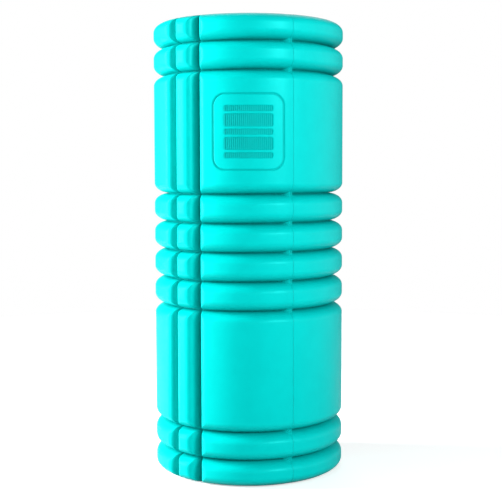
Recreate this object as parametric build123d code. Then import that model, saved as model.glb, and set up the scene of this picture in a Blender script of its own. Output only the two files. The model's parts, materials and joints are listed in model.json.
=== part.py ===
from build123d import *
import os
from math import acos, cos, degrees, radians, sin, sqrt

# Foam massage roller: a rigid hollow core with a moulded foam mat wrapped round it and
# glued on, closed by one glued butt seam. Millimetres and degrees. The roller stands on
# one end with its axis on Z and its lower end at Z = 0. An angle is counted from the
# front, -Y, towards +X.

# Core
length = 330.0
core_outer_radius = 57.15
core_wall = 3.5
core_chamfer = 0.8

# Glue between the core and the foam
bond_thickness = 0.25
bond_end_inset = 3.0

# Foam
foam_thickness = 12.45
groove_depth = 10.0

# Ring grooves, as distances between their centres. The two wide blocks take what is left
# of the length.
outer_ring_width = 18.5
inner_ring_width = 20.0
middle_ring_width = 20.4
middle_ring_count = 4
ring_groove_floor = 0.3
block_edge_along = 7.3
block_edge_overreach = 1.5  # radial half-axis of the shoulders, beyond the groove's depth

# Axial V-grooves: a narrow one and a broad one side by side, and the same pair again on
# the far side of the roller
narrow_groove_angle = -50.9
narrow_groove_width = 6.0
broad_groove_angle = -33.3
broad_groove_width = 10.3
groove_pair_repeats = 2
axial_groove_floor = 0.4
axial_rim_radius = 6.0

# Butt seam of the wrapped mat, bridged by a small web in every ring groove
seam_angle = 26.5
seam_gap = 0.3
seam_glue_recess = 2.0
web_crest_drop = 4.6
web_half_width = 4.5

# Badge on the front of the upper wide block: an outline round a pictogram of bars
badge_width = 48.8
badge_end_margin = 16.85
badge_corner_radius = 8.5
badge_line_width = 1.1
badge_line_depth = 0.6
emblem_width = 34.0
emblem_end_margin = 8.0
emblem_depth = 0.8
emblem_bar_shares = (1.0, 2.2, 1.0, 2.2, 1.0)
emblem_gap_share = 0.4
emblem_corner_share = 0.4

# Construction
cutter_overshoot = 5.0
rim_overshoot = 0.03
standing = (Align.CENTER, Align.CENTER, Align.MIN)

core_inner_radius = core_outer_radius - core_wall
bond_outer_radius = core_outer_radius + bond_thickness
foam_outer_radius = bond_outer_radius + foam_thickness
groove_radius = foam_outer_radius - groove_depth
block_edge_radial = groove_depth + block_edge_overreach
web_crest_radius = foam_outer_radius - web_crest_drop
end_rings_width = outer_ring_width + inner_ring_width
wide_block_width = (length - middle_ring_count * middle_ring_width) / 2 - end_rings_width
upper_block_middle = length - end_rings_width - wide_block_width / 2


def tube(outer_radius, inner_radius, bottom, top):
    """A plain tube on the Z axis between two heights."""
    outside = Cylinder(outer_radius, top - bottom, align=standing)
    bore = Cylinder(inner_radius, top - bottom, align=standing)
    return Pos(0, 0, bottom) * (outside - bore)


def ring_groove_heights():
    """Centre heights of the ring grooves, from the lower end up."""
    widths = [outer_ring_width, inner_ring_width, wide_block_width]
    widths += [middle_ring_width] * middle_ring_count
    widths += [wide_block_width, inner_ring_width]
    heights = []
    height = 0.0
    for width in widths:
        height += width
        heights.append(height)
    return heights


def block_outline(bottom, top):
    """Edges of one block in section, with an elliptical shoulder at both ends."""
    foot_angle = degrees(acos(1 - groove_depth / block_edge_radial))
    shoulder_height = block_edge_along * sin(radians(foot_angle))
    centre_radius = foam_outer_radius - block_edge_radial
    lower = (centre_radius, bottom + shoulder_height)
    upper = (centre_radius, top - shoulder_height)
    return [
        EllipticalCenterArc(
            lower, block_edge_radial, block_edge_along, -foot_angle, arc_size=foot_angle
        ),
        Line(
            (foam_outer_radius, bottom + shoulder_height),
            (foam_outer_radius, top - shoulder_height),
        ),
        EllipticalCenterArc(
            upper, block_edge_radial, block_edge_along, 0, arc_size=foot_angle
        ),
    ]


def foam_blank():
    """The foam with its ring grooves, before anything is cut along the roller."""
    starts = [0.0] + [z + ring_groove_floor / 2 for z in ring_groove_heights()]
    ends = [z - ring_groove_floor / 2 for z in ring_groove_heights()] + [length]
    edges = [Line((bond_outer_radius, 0), (groove_radius, 0))]
    for i, (bottom, top) in enumerate(zip(starts, ends)):
        if i:
            edges.append(Line((groove_radius, ends[i - 1]), (groove_radius, bottom)))
        edges += block_outline(bottom, top)
    edges.append(Line((groove_radius, length), (bond_outer_radius, length)))
    edges.append(Line((bond_outer_radius, length), (bond_outer_radius, 0)))
    return revolve(Plane.XZ * make_face(edges), Axis.Z)


def groove_rim(width):
    """Where one rounded rim of a V-groove at the front starts and ends, and its middle."""
    foot = Vector(axial_groove_floor / 2, -groove_radius)
    corner = Vector(width / 2, -sqrt(foam_outer_radius**2 - (width / 2) ** 2))
    wall = (corner - foot).normalized()
    into_foam = Vector(-wall.Y, wall.X)
    centre_radius = foam_outer_radius - axial_rim_radius + rim_overshoot
    start = foot + into_foam * axial_rim_radius
    along = start.dot(wall)
    run = sqrt(along**2 - start.dot(start) + centre_radius**2) - along
    centre = start + wall * run
    rim_start = foot + wall * run
    rim_end = centre * (1 + axial_rim_radius / centre_radius)
    outward = ((rim_start - centre) + (rim_end - centre)).normalized()
    return foot, rim_start, centre + outward * axial_rim_radius, rim_end


def axial_groove(angle, width):
    """Cutter for one V-groove along the whole roller."""
    foot, rim_start, rim_middle, rim_end = groove_rim(width)
    outside = rim_end * (1 + cutter_overshoot / foam_outer_radius)
    half = [
        Line(foot, rim_start),
        ThreePointArc(rim_start, rim_middle, rim_end),
        Line(rim_end, outside),
    ]
    other_half = [mirror(edge, Plane.YZ) for edge in half]
    floor = Line(foot, (-foot.X, foot.Y))
    lid = Line(outside, (-outside.X, outside.Y))
    section = make_face(half + other_half + [floor, lid])
    cutter = extrude(section, length + 2 * cutter_overshoot)
    return Rot(0, 0, angle) * Pos(0, 0, -cutter_overshoot) * cutter


def seam_webs():
    """A ridge along the seam, which shows only where the ring grooves cross it."""
    crest = Vector(0, -web_crest_radius)
    foot = Vector(web_half_width, -sqrt(groove_radius**2 - web_half_width**2))
    buried = foot + (foot - crest).normalized()
    section = make_face(Polyline(crest, buried, (-buried.X, buried.Y), crest))
    first_crest = outer_ring_width / 2
    ridge = extrude(section, length - 2 * first_crest)
    bore = Cylinder(bond_outer_radius, length, align=standing)
    return Rot(0, 0, seam_angle) * Pos(0, 0, first_crest) * (ridge - bore)


def seam_slab(outer_radius):
    """A thin slab on the seam, from inside the foam's bore out to the given radius."""
    depth = outer_radius - core_inner_radius
    middle = (outer_radius + core_inner_radius) / 2
    slab = Pos(0, -middle, length / 2) * Box(seam_gap, depth, length)
    return Rot(0, 0, seam_angle) * slab


def on_badge(sketch, depth):
    """Cutter that sinks a flat outline into the front of the upper wide block."""
    plane = Plane(origin=(0, 0, upper_block_middle), x_dir=(1, 0, 0), z_dir=(0, -1, 0))
    shaft = extrude(plane * sketch, foam_outer_radius + cutter_overshoot)
    skin = tube(
        foam_outer_radius + cutter_overshoot,
        foam_outer_radius - depth,
        0,
        length,
    )
    return shaft & skin


def badge_outline():
    """The rounded square line."""
    height = wide_block_width - 2 * badge_end_margin
    half_line = badge_line_width / 2
    outside = RectangleRounded(
        badge_width + badge_line_width,
        height + badge_line_width,
        badge_corner_radius + half_line,
    )
    inside = RectangleRounded(
        badge_width - badge_line_width,
        height - badge_line_width,
        badge_corner_radius - half_line,
    )
    return on_badge(outside - inside, badge_line_depth)


def badge_emblem():
    """A stack of rounded bars, thin and thick in turn, like the roller's own rings."""
    height = wide_block_width - 2 * badge_end_margin - 2 * emblem_end_margin
    gaps = emblem_gap_share * (len(emblem_bar_shares) - 1)
    unit = height / (sum(emblem_bar_shares) + gaps)
    bars = Sketch()
    middle = -height / 2
    for share in emblem_bar_shares:
        middle += share * unit / 2
        bar = RectangleRounded(emblem_width, share * unit, emblem_corner_share * unit)
        bars += Pos(0, middle) * bar
        middle += (share / 2 + emblem_gap_share) * unit
    return on_badge(bars, emblem_depth)


def make_core():
    core = tube(core_outer_radius, core_inner_radius, 0, length)
    return chamfer(core.edges().filter_by(GeomType.CIRCLE), core_chamfer)


def make_core_bond():
    return tube(
        bond_outer_radius, core_outer_radius, bond_end_inset, length - bond_end_inset
    )


def make_foam():
    """The foam body, complete but for the slit of its seam."""
    foam = foam_blank()
    for turn in range(groove_pair_repeats):
        start = 360.0 / groove_pair_repeats * turn
        foam -= axial_groove(start + narrow_groove_angle, narrow_groove_width)
        foam -= axial_groove(start + broad_groove_angle, broad_groove_width)
    foam += seam_webs()
    foam -= badge_outline()
    foam -= badge_emblem()
    return foam


foam_body = make_foam()
parts = {
    "core_tube": make_core(),
    "core_bond": make_core_bond(),
    "foam_sleeve": foam_body - seam_slab(foam_outer_radius + cutter_overshoot),
    "seam_bond": foam_body & seam_slab(web_crest_radius - seam_glue_recess),
}

os.makedirs("parts", exist_ok=True)
for name, part in parts.items():
    export_step(part, f"parts/{name}.step")
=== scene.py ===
"""Foam massage roller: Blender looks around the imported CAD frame. Metres, Z up."""

import json
import math

import bpy
import numpy as np
from mathutils import Matrix, Vector


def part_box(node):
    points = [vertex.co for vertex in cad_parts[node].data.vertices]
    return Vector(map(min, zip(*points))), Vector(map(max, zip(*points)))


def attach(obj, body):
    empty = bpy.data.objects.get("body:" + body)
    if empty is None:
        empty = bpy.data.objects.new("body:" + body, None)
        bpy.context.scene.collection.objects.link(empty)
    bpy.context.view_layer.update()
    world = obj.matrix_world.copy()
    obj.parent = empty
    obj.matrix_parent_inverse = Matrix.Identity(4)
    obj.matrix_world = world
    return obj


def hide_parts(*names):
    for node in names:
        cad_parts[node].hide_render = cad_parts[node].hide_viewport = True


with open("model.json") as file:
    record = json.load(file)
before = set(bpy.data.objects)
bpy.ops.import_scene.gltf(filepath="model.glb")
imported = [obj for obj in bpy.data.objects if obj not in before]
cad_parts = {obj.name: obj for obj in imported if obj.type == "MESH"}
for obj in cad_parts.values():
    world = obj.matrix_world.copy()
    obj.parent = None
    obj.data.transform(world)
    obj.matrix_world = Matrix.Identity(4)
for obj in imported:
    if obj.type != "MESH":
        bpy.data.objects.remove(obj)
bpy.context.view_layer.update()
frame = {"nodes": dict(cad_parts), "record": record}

MM = 0.001

# Sizes read from the frame
foam_low, foam_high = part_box("foam_sleeve")
bond_low, bond_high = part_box("core_bond")
core_low, core_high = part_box("core_tube")
MOUNTS = {m["name"]: m for m in frame["record"]["mounts"]}
LENGTH = foam_high.z
FOAM_RADIUS = max(foam_high.x, foam_high.y, -foam_low.x, -foam_low.y)
FOAM_BORE_RADIUS = max(bond_high.x, bond_high.y, -bond_low.x, -bond_low.y)
CORE_RADIUS = max(core_high.x, core_high.y, -core_low.x, -core_low.y)
CORE_BORE_RADIUS = MOUNTS["core_bore"]["dims"]["r_mm"] * MM

# The foam's pattern, as the CAD has it
GROOVE_DEPTH = 10.0 * MM
OUTER_RING = 18.5 * MM
INNER_RING = 20.0 * MM
MIDDLE_RING = 20.4 * MM
MIDDLE_RINGS = 4
RING_GROOVE_FLOOR = 0.3 * MM
EDGE_ALONG = 7.3 * MM
EDGE_RADIAL = 11.5 * MM
AXIAL_GROOVE_FLOOR = 0.4 * MM
AXIAL_RIM_RADIUS = 6.0 * MM
# angle in degrees from the front towards +X, and width
AXIAL_GROOVES = (
    (-50.9, 6.0 * MM),
    (-33.3, 10.3 * MM),
)
SEAM_ANGLE = 26.5
SEAM_GAP = 0.3 * MM
WEB_CREST_DROP = 4.6 * MM
WEB_HALF_WIDTH = 4.5 * MM
BADGE_WIDTH = 48.8 * MM
BADGE_END_MARGIN = 16.85 * MM
BADGE_CORNER = 8.5 * MM
BADGE_LINE = 1.1 * MM
BADGE_LINE_DEPTH = 0.6 * MM
EMBLEM_WIDTH = 34.0 * MM
EMBLEM_END_MARGIN = 8.0 * MM
EMBLEM_DEPTH = 0.8 * MM
EMBLEM_SHARES = (1.0, 2.2, 1.0, 2.2, 1.0)
EMBLEM_GAP_SHARE = 0.4
EMBLEM_CORNER_SHARE = 0.4

# What the CAD leaves out: the seam pressed shut between the ends, the foam's fall beside
# it, soft edges, and the emblem's ribs
SEAM_LIP_GAP = 0.05 * MM
SEAM_OPENING_REACH = 1.5 * MM
SEAM_LIP_DROP = 0.07 * MM
SEAM_LIP_REACH = 0.9 * MM
SEAM_FALL = 0.25 * MM
SEAM_FALL_REACH = 5 * MM
WEB_CREST_ROUNDING = 0.8 * MM
WEB_FOOT_BLEND = 1.0 * MM
BADGE_EDGE = 0.5 * MM
CROSSING_SHARPNESS = 8
RIB_PITCH = 1.4 * MM
RIB_HEIGHT = 0.6 * MM

# The core's rounded mouths
CORE_EDGE = 0.8 * MM
CORE_EDGE_STEPS = 6
CORE_SIDES = 288

# Painted shade: how much darker the foam's tone is painted in the badge's line, its emblem and a
# groove's foot, for the shade in these recesses
LINE_PAINTED_SHADE = 0.25
EMBLEM_PAINTED_SHADE = 0.25
GROOVE_PAINTED_SHADE = 0.4

GROOVE_RADIUS = FOAM_RADIUS - GROOVE_DEPTH
WIDE_BLOCK = (LENGTH - MIDDLE_RINGS * MIDDLE_RING) / 2 - OUTER_RING - INNER_RING
BADGE_HEIGHT = WIDE_BLOCK - 2 * BADGE_END_MARGIN
BADGE_MIDDLE = LENGTH - OUTER_RING - INNER_RING - WIDE_BLOCK / 2
FOOT_ANGLE = math.acos(1 - GROOVE_DEPTH / EDGE_RADIAL)
SHOULDER = EDGE_ALONG * math.sin(FOOT_ANGLE)

# Mesh steps
PLAIN_STEP = 1.6 * MM
FINE_STEP = 0.45 * MM
BADGE_STEP = RIB_PITCH / 4
SHOULDER_STEPS = 14
WALL_STEPS = 8
RIM_STEPS = 14
BORE_ROWS = 9
SEAM_FINE_REACH = 8 * MM
RIM_FINE_REACH = 1 * MM


# ---------------------------------------------------------------- foam shape
def smooth_min(a, b, reach):
    """The lower of a and b, rounded where they differ by less than reach."""
    near = np.clip(1 - np.abs(a - b) / reach, 0, 1)
    return np.minimum(a, b) - near**2 * reach / 4


def smooth_max(a, b, reach):
    return -smooth_min(-a, -b, reach)


def steps_between(start, end, step):
    """Evenly spaced values from start up to, but not at, end."""
    count = max(1, round((end - start) / step))
    return np.linspace(start, end, count, endpoint=False)


def block_ends():
    """(lower end, upper end) of every ring and block, from the lower end of the roller up."""
    widths = [OUTER_RING, INNER_RING, WIDE_BLOCK]
    widths += [MIDDLE_RING] * MIDDLE_RINGS
    widths += [WIDE_BLOCK, INNER_RING]
    centres = np.cumsum(widths)
    lows = [0.0] + [c + RING_GROOVE_FLOOR / 2 for c in centres]
    highs = [c - RING_GROOVE_FLOOR / 2 for c in centres] + [LENGTH]
    return list(zip(lows, highs))


def foam_rows():
    """Heights of the mesh's rows and the foam's radius at each, before the axial grooves."""
    turn = np.linspace(-FOOT_ANGLE, 0, SHOULDER_STEPS + 1)
    rise = SHOULDER + EDGE_ALONG * np.sin(turn)
    radius = FOAM_RADIUS - EDGE_RADIAL + EDGE_RADIAL * np.cos(turn)
    heights, radii = [], []
    for low, high in block_ends():
        crest = high - low - 2 * SHOULDER
        holds_badge = low < BADGE_MIDDLE < high
        step = BADGE_STEP if holds_badge else PLAIN_STEP
        step = min(step, crest / 4)
        flat = steps_between(low + SHOULDER, high - SHOULDER, step)[1:]
        heights += [low + rise, flat, high - rise[::-1]]
        radii += [radius, np.full(len(flat), FOAM_RADIUS), radius[::-1]]
        if high < LENGTH:
            heights.append(np.array([high + RING_GROOVE_FLOOR / 2]))
            radii.append(np.array([GROOVE_RADIUS]))
    return np.concatenate(heights), np.concatenate(radii)


def groove_section(width):
    """Angles off a V-groove's middle, and the foam's radius there, out to the round surface."""
    foot = Vector((AXIAL_GROOVE_FLOOR / 2, GROOVE_RADIUS))
    corner = Vector((width / 2, math.sqrt(FOAM_RADIUS**2 - (width / 2) ** 2)))
    wall = (corner - foot).normalized()
    into_foam = Vector((wall.y, -wall.x))
    centre_radius = FOAM_RADIUS - AXIAL_RIM_RADIUS
    start = foot + into_foam * AXIAL_RIM_RADIUS
    along = start.dot(wall)
    run = math.sqrt(along**2 - start.dot(start) + centre_radius**2) - along
    centre = start + wall * run
    points = [Vector((0, GROOVE_RADIUS))]
    points += [foot + wall * run * part for part in np.linspace(0, 1, WALL_STEPS)]
    first = math.atan2(-into_foam.y, -into_foam.x)
    last = math.atan2(centre.y, centre.x)
    for turn in np.linspace(first, last, RIM_STEPS)[1:]:
        points.append(centre + AXIAL_RIM_RADIUS * Vector((math.cos(turn), math.sin(turn))))
    off = np.array([math.atan2(point.x, point.y) for point in points])
    return off, np.array([point.length for point in points])


def foam_columns():
    """Angles of the mesh's columns in radians, once round from one lip of the seam to the other."""
    lip = math.asin(SEAM_GAP / 2 / FOAM_RADIUS)
    fine_reach = SEAM_FINE_REACH / FOAM_RADIUS
    seam = math.radians(SEAM_ANGLE)
    marks = [(seam + lip, FINE_STEP), (seam + fine_reach, PLAIN_STEP)]
    for half_turn in (math.pi, 2 * math.pi):
        for angle, width in AXIAL_GROOVES:
            centre = math.radians(angle) + half_turn
            off, _ = groove_section(width)
            rim = off[-1] + RIM_FINE_REACH / FOAM_RADIUS
            marks += [
                (centre - rim, FINE_STEP),
                (centre - off[1], FINE_STEP),
                (centre, FINE_STEP),
                (centre + off[1], FINE_STEP),
                (centre + rim, PLAIN_STEP),
            ]
    steps = round((BADGE_WIDTH / 2 + BADGE_LINE) / BADGE_STEP)
    across = np.arange(-steps, steps + 1) * BADGE_STEP
    badge = 2 * math.pi + np.arcsin(across / FOAM_RADIUS)
    marks.append((badge[0], None))
    marks.sort(key=lambda mark: mark[0])
    pieces = []
    for (start, step), (end, _) in zip(marks, marks[1:]):
        pieces.append(steps_between(start, end, step / FOAM_RADIUS))
    seam_again = seam + 2 * math.pi
    pieces += [
        badge[:-1],
        steps_between(badge[-1], seam_again - lip, FINE_STEP / FOAM_RADIUS),
        [seam_again - lip],
    ]
    return np.concatenate(pieces)


def axial_drop(angles, centre, width):
    """How far a V-groove takes the surface down at each angle."""
    off = np.abs((angles - centre + math.pi) % (2 * math.pi) - math.pi)
    return FOAM_RADIUS - np.interp(off, *groove_section(width))


def rounded_box_distance(across, up, width, height, corner):
    """Signed distance to a rounded rectangle's outline, negative inside."""
    beside = np.abs(across) - width / 2 + corner
    above = np.abs(up) - height / 2 + corner
    outside = np.hypot(np.maximum(beside, 0), np.maximum(above, 0))
    return outside + np.minimum(np.maximum(beside, above), 0) - corner


def fade(distance, width):
    """1 inside, 0 outside, with a smooth step of this width at distance 0."""
    t = np.clip(0.5 - distance / width, 0, 1)
    return t * t * (3 - 2 * t)


def emblem_cover(across, up):
    """1 on the emblem's bars and 0 beside them, at points across and up from its middle."""
    height = BADGE_HEIGHT - 2 * EMBLEM_END_MARGIN
    unit = height / (sum(EMBLEM_SHARES) + EMBLEM_GAP_SHARE * (len(EMBLEM_SHARES) - 1))
    cover = 0 * (across + up)
    middle = -height / 2
    for share in EMBLEM_SHARES:
        middle += share * unit / 2
        bar = rounded_box_distance(
            across,
            up - middle,
            EMBLEM_WIDTH,
            share * unit,
            EMBLEM_CORNER_SHARE * unit,
        )
        cover = cover + fade(bar, BADGE_EDGE)
        middle += (share / 2 + EMBLEM_GAP_SHARE) * unit
    return cover


def line_cover(across, up):
    """1 on the badge's outline and 0 beside it, at points across and up from its middle."""
    edge = rounded_box_distance(across, up, BADGE_WIDTH, BADGE_HEIGHT, BADGE_CORNER)
    return fade(np.abs(edge) - BADGE_LINE / 2, BADGE_EDGE)


def badge_depth(across, up):
    """How deep the badge is sunk at points across and up from its middle."""
    ribs = RIB_HEIGHT * (0.5 + 0.5 * np.cos(2 * math.pi * across / RIB_PITCH))
    line = BADGE_LINE_DEPTH * line_cover(across, up)
    return line + emblem_cover(across, up) * (EMBLEM_DEPTH - ribs)


def badge_places(angles, heights):
    """Where the columns and rows lie across and up from the badge's middle."""
    across = FOAM_RADIUS * np.sin(angles)
    across[np.cos(angles) < 0] = FOAM_RADIUS
    return across[None, :], (heights - BADGE_MIDDLE)[:, None]


def foam_painted_shade(angles, heights, radius):
    """Share of the foam's tone left at every row and column under the painted shade of the badge's
    recesses and the grooves.
    """
    places = badge_places(angles, heights)
    # Painted shade in the badge's sunk outline and in its ribbed, sunk emblem bars
    badge = EMBLEM_PAINTED_SHADE * emblem_cover(*places) + LINE_PAINTED_SHADE * line_cover(*places)
    # Painted shade that deepens toward each groove's foot
    depth = np.clip((FOAM_RADIUS - radius) / GROOVE_DEPTH, 0, 1)
    return (1 - badge) * (1 - GROOVE_PAINTED_SHADE * depth**1.5)


def foam_radii(angles, heights, row_radii):
    """Radius of the foam's outside for every row and column."""
    ring_drop = (FOAM_RADIUS - row_radii) / GROOVE_DEPTH
    drop = np.repeat(ring_drop[:, None] ** CROSSING_SHARPNESS, len(angles), 1)
    for half_turn in (0, math.pi):
        for angle, width in AXIAL_GROOVES:
            axial = axial_drop(angles, math.radians(angle) + half_turn, width)
            drop += (axial / GROOVE_DEPTH)[None, :] ** CROSSING_SHARPNESS
    drop = GROOVE_DEPTH * drop ** (1 / CROSSING_SHARPNESS)
    radius = FOAM_RADIUS - np.minimum(drop, GROOVE_DEPTH)
    from_seam = FOAM_RADIUS * np.sin(angles - math.radians(SEAM_ANGLE))
    from_seam[np.cos(angles - math.radians(SEAM_ANGLE)) < 0] = FOAM_RADIUS
    lips = SEAM_LIP_DROP * np.exp(-np.abs(from_seam) / SEAM_LIP_REACH)
    fall = SEAM_FALL * np.exp(-((from_seam / SEAM_FALL_REACH) ** 2))
    radius -= (lips + fall)[None, :]
    radius = np.maximum(radius, GROOVE_RADIUS)
    slope = (GROOVE_DEPTH - WEB_CREST_DROP) / WEB_HALF_WIDTH
    off_crest = np.hypot(from_seam, WEB_CREST_ROUNDING) - WEB_CREST_ROUNDING
    web = FOAM_RADIUS - WEB_CREST_DROP - slope * off_crest
    bridged = (heights > OUTER_RING / 2) & (heights < LENGTH - OUTER_RING / 2)
    web = np.where(bridged[:, None], web[None, :], 0)
    radius = smooth_max(radius, web, WEB_FOOT_BLEND)
    radius -= badge_depth(*badge_places(angles, heights))
    return radius


def new_mesh(name, points, faces, smooth):
    """A mesh object from points, faces and a flag per face for smooth shading."""
    mesh = bpy.data.meshes.new(name)
    mesh.from_pydata(points.tolist(), [], faces)
    mesh.polygons.foreach_set("use_smooth", np.array(smooth, bool))
    mesh.update()
    piece = bpy.data.objects.new(name, mesh)
    bpy.context.scene.collection.objects.link(piece)
    return piece


def grid_faces(rows, columns, first, flip=False):
    """Quads of a grid whose points are numbered row by row."""
    corner = (np.arange(rows - 1)[:, None] * columns + np.arange(columns - 1)[None, :]).ravel()
    quads = np.stack([corner, corner + 1, corner + columns + 1, corner + columns], 1) + first
    return quads[:, ::-1] if flip else quads


def grid_places(quads, first, columns, across, up):
    """Bake-map points of a grid's quads, from a place across per column and a place up per row."""
    point = quads - first
    return np.stack([across[point % columns], up[point // columns]], -1).reshape(-1, 2)


def band_places(quads, first_inner, columns, across, outer_up, inner_up):
    """Bake-map points of the quads between the outer shell's edge and the bore's edge."""
    up = np.where(quads < first_inner, outer_up, inner_up)
    point = np.where(quads < first_inner, quads, quads - first_inner)
    return np.stack([across[point % columns], up], -1).reshape(-1, 2)


def lip_places(radii, heights, left):
    """Bake-map points of one wall of the seam's slit."""
    across = left + 0.012 * (radii - FOAM_BORE_RADIUS) / (FOAM_RADIUS - FOAM_BORE_RADIUS)
    return np.stack([across, 0.01 + 0.8 * heights / LENGTH], -1)


def share(values, low, high):
    """Values from their first to their last, moved to low to high."""
    return low + (high - low) * (values - values[0]) / (values[-1] - values[0])


def make_foam():
    """The moulded mat wrapped round the core: a closed shell with a slit at the seam."""
    angles = foam_columns()
    heights, row_radii = foam_rows()
    radius = foam_radii(angles, heights, row_radii)
    rows, columns = radius.shape
    turn = np.repeat(angles[None, :], rows, 0)
    seam = math.radians(SEAM_ANGLE)
    from_end = np.minimum(heights, LENGTH - heights)
    opening = np.exp(-from_end / SEAM_OPENING_REACH)
    gap = SEAM_LIP_GAP + (SEAM_GAP - SEAM_LIP_GAP) * opening
    turn[:, 0] = seam + np.arcsin(gap / 2 / radius[:, 0])
    turn[:, -1] = seam + 2 * math.pi - np.arcsin(gap / 2 / radius[:, -1])
    outer = np.stack(
        [radius * np.sin(turn), -radius * np.cos(turn), np.repeat(heights[:, None], columns, 1)],
        2,
    ).reshape(-1, 3)
    inner_heights = np.linspace(0, LENGTH, BORE_ROWS)
    inner_turn = angles.copy()
    inner_turn[0] = seam + math.asin(SEAM_GAP / 2 / FOAM_BORE_RADIUS)
    inner_turn[-1] = seam + 2 * math.pi - math.asin(SEAM_GAP / 2 / FOAM_BORE_RADIUS)
    inner = np.array(
        [
            (FOAM_BORE_RADIUS * math.sin(a), -FOAM_BORE_RADIUS * math.cos(a), z)
            for z in inner_heights
            for a in inner_turn
        ]
    )
    first_inner = rows * columns
    inner_rows = len(inner_heights)
    shell = grid_faces(rows, columns, 0)
    bore = grid_faces(inner_rows, columns, first_inner, flip=True)
    column = np.arange(columns - 1)
    lower = np.stack([column + 1, column, first_inner + column, first_inner + column + 1], 1)
    top_outer = (rows - 1) * columns
    top_inner = first_inner + (inner_rows - 1) * columns
    upper = np.stack(
        [top_outer + column, top_outer + column + 1, top_inner + column + 1, top_inner + column],
        1,
    )
    outer_edge = np.arange(rows) * columns
    inner_edge = first_inner + np.arange(inner_rows) * columns
    near_lip = list(outer_edge[::-1]) + list(inner_edge)
    far_lip = list(outer_edge + columns - 1) + list(inner_edge[::-1] + columns - 1)
    faces = [*shell.tolist(), *bore.tolist(), *lower.tolist(), *upper.tolist()]
    smooth = [True] * (len(shell) + len(bore)) + [False] * (len(lower) + len(upper) + 2)
    faces += [[int(i) for i in near_lip], [int(i) for i in far_lip]]
    piece = new_mesh("foam", np.concatenate([outer, inner]), faces, smooth)
    # Painted shade, kept per point: the foam's colour is darkened in the badge's recesses and
    # toward the grooves' feet
    painted_shade = piece.data.attributes.new("painted_shade", "FLOAT", "POINT")
    bore_painted_shade = np.ones(inner_rows * columns)
    painted_shades = np.concatenate([foam_painted_shade(angles, heights, radius).ravel(), bore_painted_shade])
    painted_shade.data.foreach_set("value", painted_shades)
    # The bake map: the outer shell on top, the bore and the two ends below it, and the
    # slit's walls on the right
    across = share(angles, 0.005, 0.955)
    path = np.hypot(np.diff(heights, prepend=0), np.diff(row_radii, prepend=row_radii[0]))
    near_radii = np.concatenate([radius[::-1, 0], np.full(inner_rows, FOAM_BORE_RADIUS)])
    far_radii = np.concatenate([radius[:, -1], np.full(inner_rows, FOAM_BORE_RADIUS)])
    places = [
        grid_places(shell, 0, columns, across, share(np.cumsum(path), 0.205, 0.995)),
        grid_places(bore, first_inner, columns, across, share(inner_heights, 0.085, 0.195)),
        band_places(lower, first_inner, columns, across, 0.035, 0.005),
        band_places(upper, first_inner, columns, across, 0.075, 0.045),
        lip_places(near_radii, np.concatenate([heights[::-1], inner_heights]), 0.965),
        lip_places(far_radii, np.concatenate([heights, inner_heights[::-1]]), 0.983),
    ]
    bake_map = piece.data.uv_layers.new(name="OFBake")
    bake_map.data.foreach_set("uv", np.concatenate(places).ravel())
    return piece


# ---------------------------------------------------------------- core shape
def make_core():
    """The hollow core as a turned shell with rounded mouths."""
    corner = CORE_EDGE
    quarter = np.linspace(0, math.pi / 2, CORE_EDGE_STEPS)
    section = []
    for radius, height, start in (
        (CORE_BORE_RADIUS + corner, corner, math.pi),
        (CORE_RADIUS - corner, corner, 1.5 * math.pi),
        (CORE_RADIUS - corner, LENGTH - corner, 0.0),
        (CORE_BORE_RADIUS + corner, LENGTH - corner, 0.5 * math.pi),
    ):
        for a in quarter:
            section.append(
                (radius + corner * math.cos(start + a), height + corner * math.sin(start + a))
            )
    section = np.array(section)
    turn = np.arange(CORE_SIDES) * 2 * math.pi / CORE_SIDES
    points = np.stack(
        [
            section[None, :, 0] * np.cos(turn)[:, None],
            section[None, :, 0] * np.sin(turn)[:, None],
            np.repeat(section[None, :, 1], CORE_SIDES, 0),
        ],
        2,
    ).reshape(-1, 3)
    size = len(section)
    faces = []
    for i in range(CORE_SIDES):
        here, there = i * size, (i + 1) % CORE_SIDES * size
        for j in range(size):
            k = (j + 1) % size
            faces.append([here + j, there + j, there + k, here + k])
    return new_mesh("core", points, faces, [True] * len(faces))


# ---------------------------------------------------------------- materials
def new_material(name):
    material = bpy.data.materials.new(name)
    material.use_nodes = True
    tree = material.node_tree
    return material, tree, tree.nodes["Principled BSDF"]


def noise(tree, scale, detail=2.0, roughness=0.5):
    coordinates = tree.nodes.new("ShaderNodeTexCoord")
    texture = tree.nodes.new("ShaderNodeTexNoise")
    texture.inputs["Scale"].default_value = scale
    texture.inputs["Detail"].default_value = detail
    texture.inputs["Roughness"].default_value = roughness
    tree.links.new(coordinates.outputs["Object"], texture.inputs["Vector"])
    return texture.outputs["Fac"]


def ramp(tree, value, stops):
    node = tree.nodes.new("ShaderNodeValToRGB")
    elements = node.color_ramp.elements
    while len(elements) < len(stops):
        elements.new(0.5)
    for element, (position, colour) in zip(elements, stops):
        element.position = position
        element.color = (*colour, 1)
    tree.links.new(value, node.inputs["Fac"])
    return node.outputs["Color"]


def spread(tree, value, low, high):
    node = tree.nodes.new("ShaderNodeMapRange")
    node.inputs["From Min"].default_value = 0.25
    node.inputs["From Max"].default_value = 0.75
    node.inputs["To Min"].default_value = low
    node.inputs["To Max"].default_value = high
    tree.links.new(value, node.inputs["Value"])
    return node.outputs["Result"]


def bump(tree, value, height, normal=None):
    node = tree.nodes.new("ShaderNodeBump")
    node.inputs["Strength"].default_value = 1.0
    node.inputs["Distance"].default_value = height
    tree.links.new(value, node.inputs["Height"])
    if normal is not None:
        tree.links.new(normal, node.inputs["Normal"])
    return node.outputs["Normal"]


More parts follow.
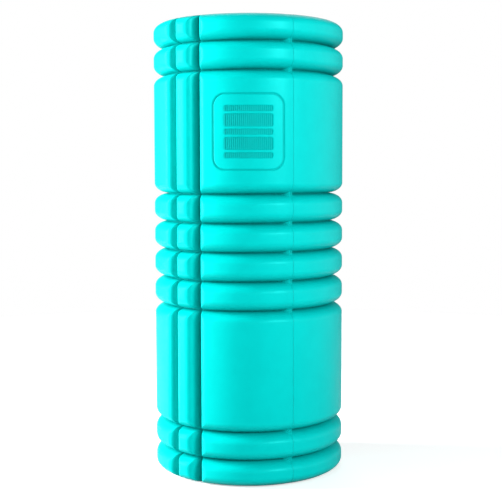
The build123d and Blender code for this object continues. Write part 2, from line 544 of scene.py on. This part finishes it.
def foam_material():
    """Closed-cell foam with a moulded satin skin: fine grain over shallow unevenness, with painted
    shade from a point attribute in the badge's recesses and the grooves.
    """
    material, tree, shader = new_material("foam_skin")
    tone = ramp(
        tree,
        noise(tree, 90, 3, 0.6),
        ((0.3, (0.0, 0.45, 0.43)), (0.7, (0.0, 0.475, 0.452))),
    )
    # Painted shade: the point attribute darkens the base colour in the badge's recesses and toward
    # the grooves' feet
    painted_shade = tree.nodes.new("ShaderNodeAttribute")
    painted_shade.attribute_name = "painted_shade"
    tone_with_painted_shade = tree.nodes.new("ShaderNodeHueSaturation")
    tree.links.new(painted_shade.outputs["Fac"], tone_with_painted_shade.inputs["Value"])
    tree.links.new(tone, tone_with_painted_shade.inputs["Color"])
    tree.links.new(tone_with_painted_shade.outputs["Color"], shader.inputs["Base Color"])
    tree.links.new(
        spread(tree, noise(tree, 700, 2), 0.34, 0.42), shader.inputs["Roughness"]
    )
    shader.inputs["Specular IOR Level"].default_value = 0.3
    shader.inputs["Specular Tint"].default_value = (0.05, 1.0, 0.97, 1)
    grain = bump(tree, noise(tree, 2200, 2), 0.012 * MM)
    uneven = bump(tree, noise(tree, 260, 1), 0.03 * MM, grain)
    tree.links.new(uneven, shader.inputs["Normal"])
    return material


def core_material():
    """Dark extruded plastic: satin, with a slight grain."""
    material, tree, shader = new_material("core_plastic")
    tone = ramp(
        tree, noise(tree, 60, 3), ((0.3, (0.022, 0.022, 0.024)), (0.7, (0.032, 0.032, 0.034)))
    )
    tree.links.new(tone, shader.inputs["Base Color"])
    tree.links.new(spread(tree, noise(tree, 500, 2), 0.32, 0.45), shader.inputs["Roughness"])
    tree.links.new(bump(tree, noise(tree, 900, 2), 0.015 * MM), shader.inputs["Normal"])
    return material


def glue_material():
    """Cured contact adhesive, a dull cream and slightly uneven."""
    material, tree, shader = new_material("glue")
    tone = ramp(
        tree, noise(tree, 400, 2), ((0.3, (0.50, 0.46, 0.32)), (0.7, (0.62, 0.58, 0.42)))
    )
    tree.links.new(tone, shader.inputs["Base Color"])
    tree.links.new(spread(tree, noise(tree, 800, 2), 0.35, 0.6), shader.inputs["Roughness"])
    tree.links.new(bump(tree, noise(tree, 1500, 2), 0.03 * MM), shader.inputs["Normal"])
    return material


def floor_material():
    """White paper to the camera, and dimmer in what it throws back at the roller."""
    material, tree, shader = new_material("floor_paper")
    tone = ramp(tree, noise(tree, 3, 2), ((0.3, (0.86, 0.86, 0.86)), (0.7, (0.88, 0.88, 0.88))))
    tree.links.new(tone, shader.inputs["Base Color"])
    shader.inputs["Roughness"].default_value = 0.9
    shader.inputs["Specular IOR Level"].default_value = 0.1
    shader.inputs["Emission Color"].default_value = (1, 1, 1, 1)
    shader.inputs["Emission Strength"].default_value = 0.45
    dim = tree.nodes.new("ShaderNodeBsdfDiffuse")
    dim.inputs["Color"].default_value = (0.38, 0.38, 0.38, 1)
    seen = tree.nodes.new("ShaderNodeLightPath")
    either = tree.nodes.new("ShaderNodeMixShader")
    tree.links.new(seen.outputs["Is Camera Ray"], either.inputs["Fac"])
    tree.links.new(dim.outputs["BSDF"], either.inputs[1])
    tree.links.new(shader.outputs["BSDF"], either.inputs[2])
    tree.links.new(either.outputs["Shader"], tree.nodes["Material Output"].inputs["Surface"])
    return material


# ---------------------------------------------------------------- studio
def add_camera():
    """A long lens at about two thirds of the roller's height, looking slightly down."""
    camera = bpy.data.cameras.new("camera")
    camera.sensor_width = 36.0
    camera.lens = 78.3
    camera.clip_start, camera.clip_end = 0.05, 60.0
    holder = bpy.data.objects.new("camera", camera)
    bpy.context.scene.collection.objects.link(holder)
    place = Vector((0, -0.818, 0.2233))
    pitch, yaw, roll = -0.075, -0.0021, -0.0022
    turn = (
        Matrix.Rotation(yaw, 3, "Z")
        @ Matrix.Rotation(math.pi / 2 + pitch, 3, "X")
        @ Matrix.Rotation(roll, 3, "Z")
    )
    holder.matrix_world = Matrix.Translation(place) @ turn.to_4x4()
    bpy.context.scene.camera = holder


def add_softbox(name, azimuth, elevation, distance, width, height, watts, shape="RECTANGLE"):
    """A softbox aimed at the roller's middle; azimuth from the front towards +X."""
    light = bpy.data.lights.new(name, "AREA")
    light.shape = shape
    light.size, light.size_y = width, height
    light.energy = watts
    lamp = bpy.data.objects.new(name, light)
    bpy.context.scene.collection.objects.link(lamp)
    a, e = math.radians(azimuth), math.radians(elevation)
    out = Vector((math.sin(a) * math.cos(e), -math.cos(a) * math.cos(e), math.sin(e)))
    lamp.location = Vector((0, 0, LENGTH / 2)) + out * distance
    lamp.rotation_mode = "QUATERNION"
    lamp.rotation_quaternion = out.to_track_quat("Z", "Y")
    return lamp


# The world's light by the height of its direction, from straight down to straight up
WORLD_BANDS = (
    (-1.0, (0.07, 0.08, 0.09)),
    (-0.4, (0.20, 0.21, 0.22)),
    (-0.15, (0.8, 0.8, 0.8)),
    (0.0, (1.0, 1.0, 1.0)),
    (0.12, (1.0, 1.0, 1.0)),
    (0.34, (0.25, 0.25, 0.25)),
    (1.0, (0.05, 0.05, 0.05)),
)
WORLD_FRONT = 1.84
WORLD_BACK = 0.12


def add_floor():
    count, radius = 96, 0.9
    turn = np.arange(count) * 2 * math.pi / count
    rim = np.stack([radius * np.cos(turn), radius * np.sin(turn), 0 * turn], 1)
    floor = new_mesh("floor", rim, [list(range(count))], [False])
    floor.data.materials.append(floor_material())


def add_world():
    """White backdrop; the light it sheds is a broad band in front and at the sides."""
    world = bpy.data.worlds.new("studio")
    bpy.context.scene.world = world
    world.use_nodes = True
    tree = world.node_tree
    light = tree.nodes["Background"]
    white = tree.nodes.new("ShaderNodeBackground")
    white.inputs["Color"].default_value = (1, 1, 1, 1)
    direction = tree.nodes.new("ShaderNodeTexCoord")
    axes = tree.nodes.new("ShaderNodeSeparateXYZ")
    tree.links.new(direction.outputs["Generated"], axes.inputs["Vector"])
    upward = tree.nodes.new("ShaderNodeMapRange")
    upward.inputs["From Min"].default_value = -1.0
    upward.inputs["From Max"].default_value = 1.0
    tree.links.new(axes.outputs["Z"], upward.inputs["Value"])
    bands = [((height + 1) / 2, colour) for height, colour in WORLD_BANDS]
    sky = ramp(tree, upward.outputs["Result"], bands)
    tree.links.new(sky, light.inputs["Color"])
    behind = tree.nodes.new("ShaderNodeMapRange")
    behind.inputs["From Min"].default_value = -0.3
    behind.inputs["From Max"].default_value = 0.8
    behind.inputs["To Min"].default_value = WORLD_FRONT
    behind.inputs["To Max"].default_value = WORLD_BACK
    tree.links.new(axes.outputs["Y"], behind.inputs["Value"])
    tree.links.new(behind.outputs["Result"], light.inputs["Strength"])
    seen = tree.nodes.new("ShaderNodeLightPath")
    either = tree.nodes.new("ShaderNodeMixShader")
    tree.links.new(seen.outputs["Is Camera Ray"], either.inputs["Fac"])
    tree.links.new(light.outputs["Background"], either.inputs[1])
    tree.links.new(white.outputs["Background"], either.inputs[2])
    tree.links.new(either.outputs["Shader"], tree.nodes["World Output"].inputs["Surface"])


def add_studio():
    add_floor()
    add_world()
    add_softbox("key_left", -93, 4, 1.5, 0.35, 1.6, 15)
    matte_key = add_softbox("key_left_matte", -93, 4, 1.5, 0.35, 1.6, 115)
    matte_key.visible_glossy = False
    add_softbox("dish_right", 37, 17, 1.2, 0.34, 0.34, 11.5, "ELLIPSE")
    add_softbox("back", 172, 45, 1.6, 0.9, 0.9, 4)
    bpy.context.scene.view_settings.view_transform = "Standard"


# ---------------------------------------------------------------- assembly
foam = make_foam()
foam.data.materials.append(foam_material())
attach(foam, "root")
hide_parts("foam_sleeve")

core = make_core()
core.data.materials.append(core_material())
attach(core, "root")
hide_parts("core_tube")

glue = glue_material()
for node in ("core_bond", "seam_bond"):
    frame["nodes"][node].data.materials.clear()
    frame["nodes"][node].data.materials.append(glue)

add_camera()
add_studio()
